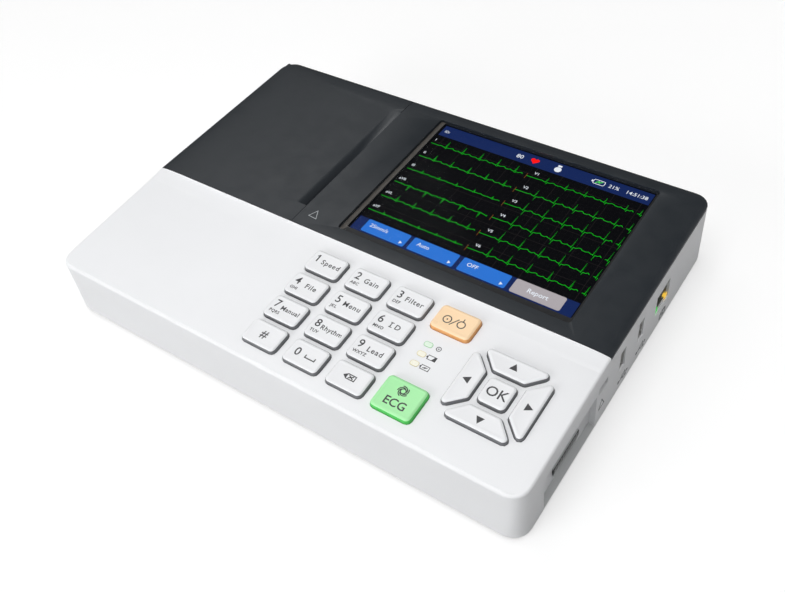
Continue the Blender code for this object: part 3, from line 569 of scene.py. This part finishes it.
def make_light_marks():
    """Outline of each light, and the printed symbols beside them: on, battery, charging."""
    x, first = FIRST_LIGHT
    for index, name in enumerate(("run_light", "battery_light", "charge_light")):
        outline = rounded(centred((4.4, 2.8), x, first - index * LIGHT_PITCH), 1.2)
        bm = bmesh.new()
        ribbon(bm, outline + outline[:1], 0.26, 0.0, 0.06)
        ink = RING_YELLOW if index else RING_GREEN
        piece(name + "_ring", bm, "casing", [ink], frame_matrix=DECK_FRAME)
    bm = bmesh.new()
    x += 5.8
    y = first
    ribbon(bm, ring_path(1.2, x=x, y=y), 0.4, 0.0, MARK_TOP)
    slab(bm, circle(0.4, 10, x, y), 0.0, MARK_TOP)
    for index in (1, 2):
        y = first - index * LIGHT_PITCH
        outline = centred((4.4, 2.4), x, y)
        ribbon(bm, outline + outline[:1], 0.35, 0.0, MARK_TOP)
        slab(bm, rectangle(x - 2.9, x - 2.3, y - 0.5, y + 0.5), 0.0, MARK_TOP)
        if index == 1:
            level = [(x + 0.2, y - 1.1), (x + 2.0, y - 1.1), (x + 2.0, y + 1.1), (x + 1.2, y + 1.1)]
            slab(bm, level, 0.0, FINE_MARK_TOP)
        else:
            flash = [(x - 1.3, y - 0.4), (x + 0.1, y + 0.3), (x - 0.1, y - 0.3), (x + 1.3, y + 0.4)]
            ribbon(bm, flash, 0.35, 0.0, FINE_MARK_TOP)
    piece("light_symbols", bm, "casing", [INK], frame_matrix=DECK_FRAME)


# ---------------------------------------------------------------- display

# the picture's own axes: u to the right and v upwards, from its lower left corner
SCREEN_ORIGIN = (-15.25, -5.2)
SCREEN_SCALE = 132.5 / 131.7
SCREEN_WIDTH, SCREEN_HEIGHT = 131.7, 99.2
LOWER_BAR, UPPER_BAR = 10.5, 89.9  # top of the lower bar, and foot of the upper one
FACE = 39.2  # the lit face's height

# bottom and top of each layer of the picture above the lit face
FINE_UP, FINE_ACROSS = (0.005, 0.01), (0.01, 0.015)
GRID_UP, GRID_ACROSS = (0.01, 0.02), (0.02, 0.03)
BAR, POINTER, BUTTON = (0.01, 0.04), (0.04, 0.06), (0.05, 0.08)
TRACE, MARK = (0.06, 0.1), (0.09, 0.12)
TEXT_RISE, TEXT_DEPTH = 0.1, 0.03


def at_screen(points):
    return [(SCREEN_ORIGIN[0] + u * SCREEN_SCALE, SCREEN_ORIGIN[1] + v * SCREEN_SCALE) for u, v in points]


def screen_fill(bm, outline, layer):
    slab(bm, at_screen(outline), FACE + layer[0], FACE + layer[1])


def screen_line(bm, points, width, layer):
    ribbon(bm, at_screen(points), width, FACE + layer[0], FACE + layer[1])


def screen_text(bm, text, u, v, height, weight, align="LEFT"):
    (x, y), = at_screen([(u, v)])
    lettering(bm, text, x, y, height, TEXT_DEPTH, FACE + TEXT_RISE, align, weight)


def screen_piece(name, colour, draw, strength=1.0):
    bm = bmesh.new()
    draw(bm)
    piece(name, bm, "casing", [glowing(name + "_light", colour, strength)])


# u of each beat's peak in the left and right columns, and v of each row's baseline
BEATS_LEFT = (10.4, 21.8, 33.2, 44.6, 56.2)
BEATS_RIGHT = (75.8, 87.6, 99.2, 110.8, 122.8, 131.0)
ROWS = (81.5, 68.5, 55.9, 43.1, 29.7, 17.1)
SPIKE, DIP = "spike", "dip"
# one beat as (u from the peak, height): a low wave, the spike and dip, and a second wave
BEAT = [
    (-4.4, 0.0), (-3.6, 0.5), (-3.0, 0.75), (-2.4, 0.3), (-1.4, 0.0),
    (-0.6, -0.1), (-0.35, -0.6), (0.0, SPIKE), (0.42, DIP), (0.75, 0.0),
    (2.2, 0.1), (3.3, 0.9), (4.3, 1.3), (5.0, 0.8), (5.6, 0.15),
]
# for each row: height of the spike, height of the dip, and size of the low waves
LEFT_WAVES = (
    (5.6, -0.8, 0.7), (4.6, -0.7, 0.6), (1.8, -0.4, 0.3),
    (-4.0, 0.4, -0.5), (3.8, -1.0, 0.5), (1.1, -0.3, 0.2),
)
RIGHT_WAVES = (
    (3.8, -1.4, 0.7), (5.4, -3.4, 0.8), (6.6, -4.2, 0.9),
    (7.2, -4.0, 0.9), (7.0, -1.8, 0.8), (6.2, -1.0, 0.7),
)


def trace(bm, start, end, baseline, beats, wave):
    """One lead's line, from u start to u end; it wavers a little round its baseline."""
    spike, dip, low = wave
    heights = {SPIKE: spike, DIP: dip}
    points = [(start, baseline)]
    for beat in beats:
        for offset, height in BEAT:
            u = beat + offset
            if points[-1][0] + 0.05 < u < end:
                rise = heights[height] if height in heights else height * low
                points.append((u, baseline + rise + 0.12 * math.sin(3.1 * u)))
    points.append((end, baseline))
    screen_line(bm, points, 0.36, TRACE)


def draw_bars(bm):
    screen_fill(bm, rectangle(0, SCREEN_WIDTH, UPPER_BAR, SCREEN_HEIGHT), BAR)
    screen_fill(bm, rectangle(0, SCREEN_WIDTH, 0, LOWER_BAR), BAR)


def draw_blue_buttons(bm):
    for u0, u1 in ((6.2, 33.7), (36.0, 64.0), (66.6, 94.5)):
        screen_fill(bm, rounded(rectangle(u0, u1, 1.0, LOWER_BAR), 1.0), BUTTON)


def draw_grey_button(bm):
    screen_fill(bm, rounded(rectangle(97.2, 125.0, 1.0, LOWER_BAR), 1.2), BUTTON)


def draw_net(bm, corner, pitch, counts, width, layers):
    """Lines up and across the picture, from a corner at a pitch."""
    for step in range(counts[0]):
        u = corner[0] + step * pitch
        screen_line(bm, [(u, LOWER_BAR), (u, UPPER_BAR)], width, layers[0])
    for step in range(counts[1]):
        v = corner[1] + step * pitch
        screen_line(bm, [(0.0, v), (SCREEN_WIDTH, v)], width, layers[1])


def draw_grid(bm):
    draw_net(bm, (5.0, 22.0), 15.4, (9, 5), 0.2, (GRID_UP, GRID_ACROSS))


def draw_fine_grid(bm):
    draw_net(bm, (1.9, 12.8), 3.08, (42, 25), 0.16, (FINE_UP, FINE_ACROSS))


def draw_traces(bm):
    for baseline, left, right in zip(ROWS, LEFT_WAVES, RIGHT_WAVES):
        trace(bm, 0.4, 60.7, baseline, BEATS_LEFT, left)
        trace(bm, 63.7, 127.0, baseline, BEATS_RIGHT[:-1], right)
        trace(bm, 129.2, 131.6, baseline, BEATS_RIGHT[-1:], right)


def draw_pointers(bm):
    for baseline in ROWS:
        screen_line(bm, [(63.4, baseline - 2.4), (63.4, baseline + 2.0)], 0.3, POINTER)


def draw_words(bm):
    """The labels, the buttons' pointers, and the marks of a memory stick and a battery."""
    for row, label in zip(ROWS, ("I", "II", "III", "aVR", "aVL", "aVF")):
        screen_text(bm, label, 1.2, row + 2.9, 2.0, 0.01)
    for row, label in zip(ROWS, ("V1", "V2", "V3", "V4", "V5", "V6")):
        screen_text(bm, label, 66.6, row + 2.9, 2.1, 0.01)
    screen_text(bm, "ID:", 2.0, 93.4, 2.1, 0.01)
    screen_text(bm, "80", 50.4, 93.0, 3.2, 0.03)
    screen_text(bm, "21%", 107.0, 93.2, 2.7, 0.02)
    screen_text(bm, "14:51:38", 117.0, 93.2, 2.7, 0.02)
    for text, u in (("25mm/s", 9.0), ("Auto", 39.5), ("OFF", 70.0)):
        screen_text(bm, text, u, 5.6, 2.7, 0.01)
    screen_text(bm, "Report", 111.1, 4.4, 3.0, 0.04, "CENTER")
    for u in (31.0, 61.2, 91.8):
        screen_fill(bm, [(u - 0.8, 2.2), (u + 0.9, 3.3), (u - 0.8, 4.4)], MARK)
    screen_fill(bm, circle(2.1, 20, 76.6, 93.8), MARK)
    screen_fill(bm, rectangle(75.4, 77.8, 96.2, 97.6), MARK)
    battery = rounded(rectangle(98.0, 104.6, 92.8, 96.2), 0.9)
    screen_line(bm, battery + battery[:1], 0.4, MARK)
    screen_fill(bm, rectangle(96.9, 97.7, 93.8, 95.2), MARK)


def draw_heart(bm):
    size, steps = 0.16, 28
    points = []
    for step in range(steps):
        turn = 2 * math.pi * step / steps
        rise = 13 * math.cos(turn) - 5 * math.cos(2 * turn) - 2 * math.cos(3 * turn) - math.cos(4 * turn)
        points.append((61.9 + size * 16 * math.sin(turn) ** 3, 94.6 + size * rise))
    screen_fill(bm, points[::-1], MARK)


def draw_charge(bm):
    screen_line(bm, [(99.4, 93.5), (101.0, 95.3), (101.4, 94.1), (103.2, 95.6)], 0.6, MARK)


def make_window_border():
    """The frame printed round the inside of the window; its left side is paler."""
    bm = bmesh.new()
    outer = rounded(grow(rectangle(*WINDOW), -0.35), 1.7)
    inner = rounded(rectangle(*LEDGE), 1.0)
    height = 0.16
    top = 40.5
    loops = []
    for z in (top - height, top):
        for outline in (outer, inner):
            loops.append([bm.verts.new((x, y, z)) for x, y in outline])
    low_outer, low_inner, high_outer, high_inner = loops
    faces = []
    sides = (
        (low_outer, low_inner), (high_inner, high_outer),
        (low_inner, high_inner), (high_outer, low_outer),
    )
    for a, b in sides:
        for quad in zip(a, a[1:] + a[:1], b[1:] + b[:1], b):
            faces.append(bm.faces.new(quad))
    for face in faces:
        face.material_index = 0 if face.calc_center_median().x < LEDGE[0] + 0.5 else 1
    bmesh.ops.recalc_face_normals(bm, faces=faces)
    piece("window_border", bm, "casing", [DARK, BLACK])


def make_display():
    screen_piece("screen_bars", srgb(20, 38, 88), draw_bars)
    screen_piece("screen_buttons", srgb(44, 114, 208), draw_blue_buttons)
    screen_piece("screen_report_button", srgb(172, 166, 170), draw_grey_button)
    screen_piece("screen_grid", srgb(38, 34, 34), draw_grid)
    screen_piece("screen_fine_grid", srgb(13, 13, 14), draw_fine_grid)
    screen_piece("screen_traces", srgb(16, 176, 26), draw_traces)
    screen_piece("screen_pointers", srgb(120, 74, 30), draw_pointers)
    screen_piece("screen_words", srgb(226, 232, 240), draw_words)
    screen_piece("screen_heart", srgb(255, 20, 16), draw_heart, 1.1)
    screen_piece("screen_charge", srgb(90, 220, 90), draw_charge)
    make_window_border()


# ---------------------------------------------------------------- sockets and side marks

# centres of the sockets: y and z on the right wall, and x and z of the mains inlet on the back wall
LAN, LEAD, INLET = (43.6, 22.0), (-57.9, 11.3), (20.0, 20.0)
USB_PORTS = {"usb_port_front": (-4.5, 24.0), "usb_port_rear": (16.6, 24.0)}
MICRO = (-25.7, 27.0)
RECESS_FRONT, RECESS_BACK = -83.9, -32.4
CABLE_PITCH, LEAD_PITCH, USB_PITCH = 1.15, 2.55, 2.4
SIDE_MARK = (-0.02, 0.05)  # bottom and top of the ink on the right wall
DRAFT_TURN = -0.01823  # the side wall leans out towards the bottom
WALL_X, WALL_Z = 145.0, 40.9  # the wall's upper edge, where the frame of its marks has its origin
SIDE_FRAME = Matrix((
    (0, math.sin(DRAFT_TURN), math.cos(DRAFT_TURN), WALL_X),
    (1, 0, 0, 0),
    (0, math.cos(DRAFT_TURN), -math.sin(DRAFT_TURN), WALL_Z),
    (0, 0, 0, 1),
))


def along_x(bm, outline, x0, x1):
    """A bar along x; the outline is in y and z."""
    loft(bm, [[(x, y, z) for y, z in outline] for x in (x0, x1)])


def tapered(bm, outline, steps):
    """A bar along x whose outline shrinks by each step's inset; steps are (x, inset)."""
    loft(bm, [[(x, y, z) for y, z in grow(outline, -inset)] for x, inset in steps])


def tongue(bm, outline, radius, segments, steps):
    """Like tapered, with corners rounded after the shrinking."""
    rings = []
    for x, inset in steps:
        rings.append([(x, y, z) for y, z in rounded(grow(outline, -inset), radius, segments)])
    loft(bm, rings)


def make_usb_tongues():
    for node, (y, z) in USB_PORTS.items():
        bm = bmesh.new()
        steps = ((135.6, 0.0), (143.6, 0.0), (144.0, 0.35))
        tongue(bm, centred((1.8, 10.8), y + 1.2, z), 0.3, 3, steps)
        piece(node + "_tongue", bm, "casing", [PALE])
        bm = bmesh.new()
        for index in range(4):
            along_x(bm, centred((0.14, 1.3), y + 0.25, z + (index - 1.5) * USB_PITCH), 136.0, 143.2)
        piece(node + "_contacts", bm, "casing", [GOLD])


def make_lan_socket():
    """Inside of the LAN socket: eight bent wires, a comb behind them, two lights and four springs."""
    y, z = LAN
    bm = bmesh.new()
    wire = ((-0.24, -0.2), (0.24, -0.2), (0.24, 0.2), (-0.24, 0.2))
    bends = ((142.6, z + 3.9), (141.6, z + 3.7), (135.2, z - 1.6), (134.0, z - 1.8))
    for index in range(8):
        u = y + (index - 3.5) * CABLE_PITCH
        loft(bm, [[(x, u + du, v + dv) for du, dv in wire] for x, v in bends])
    piece("lan_contacts", bm, "casing", [STEEL])
    bm = bmesh.new()
    along_x(bm, centred((11.5, 8.3), y, z), 133.8, 134.6)
    along_x(bm, centred((11.5, 0.8), y, z + 3.8), 134.4, 140.5)
    for index in range(9):
        along_x(bm, centred((0.35, 5.4), y + (index - 4) * CABLE_PITCH, z + 0.9), 134.4, 136.4)
    piece("lan_comb", bm, "casing", [GREY])
    for side, name, material in ((-1, "lan_light_green", LAN_GREEN), (1, "lan_light_yellow", LAN_YELLOW)):
        bm = bmesh.new()
        outline = rounded(centred((3.4, 3.2), y + side * 6.0, z - 4.9), 0.4, 3)
        tapered(bm, outline, ((143.6, 0.0), (144.7, 0.0), (144.95, 0.2)))
        piece(name, bm, "casing", [material])
    bm = bmesh.new()
    spring = ((-0.35, -1.0), (0.35, -1.0), (0.35, 1.0), (-0.35, 1.0))
    for side in (-1, 1):
        for rise in (0.6, 4.0):
            u, v = y + side * 7.0, z + rise
            along_x(bm, [(u + du, v + dv) for du, dv in spring], 144.5, 144.95)
    piece("lan_springs", bm, "casing", [STEEL])


def make_small_sockets():
    """Tongue of the micro-USB socket, and the three pins of the mains inlet."""
    y, z = MICRO
    bm = bmesh.new()
    tongue(bm, centred((4.4, 0.7), y, z + 0.2), 0.2, 2, ((140.0, 0.0), (142.8, 0.0), (143.1, 0.12)))
    piece("micro_usb_port_tongue", bm, "casing", [BLACK])
    x, z = INLET
    bm = bmesh.new()
    for dx, dz in ((-7.0, -1.6), (0.0, 2.6), (7.0, -1.6)):
        rings = []
        for y, inset in ((88.6, 0.0), (99.0, 0.0), (99.8, 0.5)):
            rings.append([(x + dx + u, y, z + dz + v) for u, v in grow(centred((2.0, 4.0)), -inset)])
        loft(bm, rings)
    piece("power_inlet_pins", bm, "casing", [STEEL])


def make_lead_socket():
    """The lead connector's face: a black slot of ten cells in a pale surround, over a sill sheet painted grey
    as shade.
    """
    y, z = LEAD
    z += 1.1
    bm = bmesh.new()
    outline = rounded([(-12.7, -2.2), (12.7, -2.2), (13.3, 2.2), (-13.3, 2.2)], 0.8, 4)
    rings = []
    for x, inset in ((142.7, 0.0), (143.0, 0.0), (143.06, 0.1)):
        rings.append([(x, y + u, z + v) for u, v in grow(outline, -inset)])
    loft(bm, rings)
    piece("patient_connector_slot", bm, "casing", [BLACK])
    bm = bmesh.new()
    for index in range(9):
        u = y + (index - 4) * LEAD_PITCH
        rib = [(u - 0.65, z - 1.8), (u - 0.05, z - 1.8), (u + 0.6, z + 1.8), (u, z + 1.8)]
        along_x(bm, rib, 142.9, 143.2)
    piece("patient_connector_ribs", bm, "casing", [SHELL])
    bm = bmesh.new()
    for index in range(10):
        for rise in (-0.8, 0.8):
            along_x(bm, circle(0.26, 8, y + (index - 4.5) * LEAD_PITCH, z + rise), 142.9, 143.15)
    piece("patient_connector_pins", bm, "casing", [STEEL])
    # a thin grey sheet on the recess's sloping floor, painted shade
    bm = bmesh.new()
    front, back = RECESS_FRONT + 0.3, RECESS_BACK - 0.3
    section = ((front, 0.0), (back, 0.0), (back, 0.12), (front, 0.12))
    loft(bm, [[(x, u, v + rise) for u, rise in section] for x, v in ((142.6, 5.0), (145.6, 2.95))])
    piece("lead_sill_shade", bm, "casing", [SILL_SHADE])


PANEL_MARK = (42.18, 42.26)  # bottom and top of the ink on the panel


def make_panel_mark():
    """A plain outlined triangle printed beside the divider."""
    bm = bmesh.new()
    corners = [(-38.8, -10.9), (-33.4, -11.4), (-36.3, -5.6)]
    ribbon(bm, corners + corners[:1], 0.32, *PANEL_MARK)
    piece("panel_mark", bm, "casing", [FAINT_INK])


def make_side_marks():
    """Plain printed marks beside the sockets: an outlined triangle, two tridents and two squares."""

    def ink(bm, points, width):
        ribbon(bm, [(u, v - WALL_Z) for u, v in points], width, *SIDE_MARK)

    bm = bmesh.new()
    u, v = -26.4, 15.0
    ink(bm, [(u - 2.9, v - 2.6), (u + 2.9, v - 2.6), (u, v + 2.9), (u - 2.9, v - 2.6)], 0.5)
    for y, _ in USB_PORTS.values():
        u, v = y + 2.6, 8.2
        ink(bm, [(u - 5.0, v), (u + 4.6, v)], 0.5)
        ink(bm, [(u - 2.6, v), (u - 0.8, v + 1.9), (u + 1.8, v + 1.9)], 0.45)
        ink(bm, [(u - 1.0, v), (u + 0.8, v - 1.9), (u + 2.8, v - 1.9)], 0.45)
        middle = v - WALL_Z
        slab(bm, [(u + 4.4, middle - 0.9), (u + 6.0, middle), (u + 4.4, middle + 0.9)], *SIDE_MARK)
        slab(bm, circle(0.95, 12, u - 5.0, middle), *SIDE_MARK)
        slab(bm, circle(0.7, 10, u + 2.2, middle + 1.9), *SIDE_MARK)
        slab(bm, centred((1.3, 1.3), u + 3.2, middle - 1.9), *SIDE_MARK)
    for u, v, size in ((44.3, 6.4, (2.6, 3.0)), (48.6, 6.9, (3.0, 3.4))):
        outline = centred(size, u, v)
        ink(bm, outline + outline[:1], 0.8)
    ink(bm, [(44.3, 8.0), (44.3, 9.6), (48.6, 9.6), (48.6, 8.6)], 0.45)
    piece("side_marks", bm, "casing", [SIDE_INK], frame_matrix=SIDE_FRAME)


make_keypad()
make_power_key()
make_ecg_key()
make_arrow_pad()
make_light_marks()
make_display()
make_usb_tongues()
make_lan_socket()
make_small_sockets()
make_lead_socket()
make_side_marks()
make_panel_mark()

# ---------------------------------------------------------------- camera, floor and light

# the camera was fitted to the casing's corners in the photograph; metres, degrees and millimetres of lens
CAMERA_AT = (0.23155, -0.26783, 0.37367)
CAMERA_TURN = (42.0596, 5.5758, 34.2654)
LENS = 41.14

# how much brighter the floor and the surroundings look to the camera than they shine on the machine
FLOOR_LIFT = 0.5
BACKDROP = 0.85
# strength of the studio's dome towards each axis
SKY = {("X", 1.0): 0.05, ("X", -1.0): 0.2, ("Y", 1.0): 0.14, ("Y", -1.0): 0.14, ("Z", 1.0): 0.1}
# name, place, target, size and power of each lamp
LAMPS = (
    ("top", (0.1, -0.4, 1.5), (0, 0, 0), (1.2, 1.2), 16.2),
    ("overhead", (-0.85, 0.55, 1.35), (0, 0, 0), (1.1, 0.9), 4.6),
    ("front", (-0.5, -1.4, 0.5), (0, 0, 0.02), (1.2, 0.6), 11.5),
    ("back_right", (0.5, 0.5, 0.3), (0.1, 0.05, 0.02), (0.3, 0.3), 0.65),
)

camera_data = bpy.data.cameras.new("camera")
camera_data.lens = LENS
camera_data.sensor_width = 36.0
camera_data.clip_start = 0.01
camera = bpy.data.objects.new("camera", camera_data)
camera.location = CAMERA_AT
camera.rotation_euler = [math.radians(angle) for angle in CAMERA_TURN]
bpy.context.scene.collection.objects.link(camera)
bpy.context.scene.camera = camera


def make_floor():
    """A pale floor. It looks brighter to the camera than it shines on the machine, like a lit backdrop."""
    bm = bmesh.new()
    bmesh.ops.create_circle(bm, cap_ends=True, segments=64, radius=4.0)
    mesh = bpy.data.meshes.new("floor")
    bm.to_mesh(mesh)
    bm.free()
    material = moulded("floor", (0.55, 0.55, 0.55), 0.9, grain=3.0, depth=0.00001, spread=0.005, specular=0.1)
    nodes, links = material.node_tree.nodes, material.node_tree.links
    shader = nodes["Principled BSDF"]
    shader.inputs["Emission Color"].default_value = (1.0, 1.0, 1.0, 1.0)
    path = nodes.new("ShaderNodeLightPath")
    lift = nodes.new("ShaderNodeMath")
    lift.operation = "MULTIPLY"
    lift.inputs[1].default_value = FLOOR_LIFT
    links.new(path.outputs["Is Camera Ray"], lift.inputs[0])
    links.new(lift.outputs["Value"], shader.inputs["Emission Strength"])
    mesh.materials.append(material)
    floor = bpy.data.objects.new("floor", mesh)
    bpy.context.scene.collection.objects.link(floor)


def area_light(name, place, target, size, power):
    data = bpy.data.lights.new(name, "AREA")
    data.shape = "RECTANGLE"
    data.size, data.size_y = size
    data.energy = power
    light = bpy.data.objects.new(name, data)
    light.location = place
    light.rotation_euler = (Vector(target) - Vector(place)).to_track_quat("-Z", "Y").to_euler()
    bpy.context.scene.collection.objects.link(light)


def make_sky():
    """A studio's dome: each direction's strength is a blend of the strengths along the axes."""
    world = bpy.data.worlds.new("studio")
    world.use_nodes = True
    nodes, links = world.node_tree.nodes, world.node_tree.links
    where = nodes.new("ShaderNodeTexCoord")
    split = nodes.new("ShaderNodeSeparateXYZ")
    links.new(where.outputs["Generated"], split.inputs["Vector"])

    def math_node(operation, first, second):
        made = nodes.new("ShaderNodeMath")
        made.operation = operation
        for socket, value in zip(made.inputs, (first, second)):
            if isinstance(value, float):
                socket.default_value = value
            else:
                links.new(value, socket)
        return made.outputs["Value"]

    total = 0.0
    for (axis, sign), strength in SKY.items():
        along = math_node("MAXIMUM", math_node("MULTIPLY", split.outputs[axis], sign), 0.0)
        share = math_node("MULTIPLY", math_node("MULTIPLY", along, along), strength)
        total = math_node("ADD", share, total)
    backdrop = math_node("MULTIPLY", nodes.new("ShaderNodeLightPath").outputs["Is Camera Ray"], BACKDROP)
    links.new(math_node("ADD", total, backdrop), nodes["Background"].inputs["Strength"])
    nodes["Background"].inputs["Color"].default_value = (1.0, 1.0, 1.0, 1.0)
    bpy.context.scene.world = world


make_floor()
make_sky()
for lamp in LAMPS:
    area_light(*lamp)
bpy.context.scene.view_settings.view_transform = "Standard"
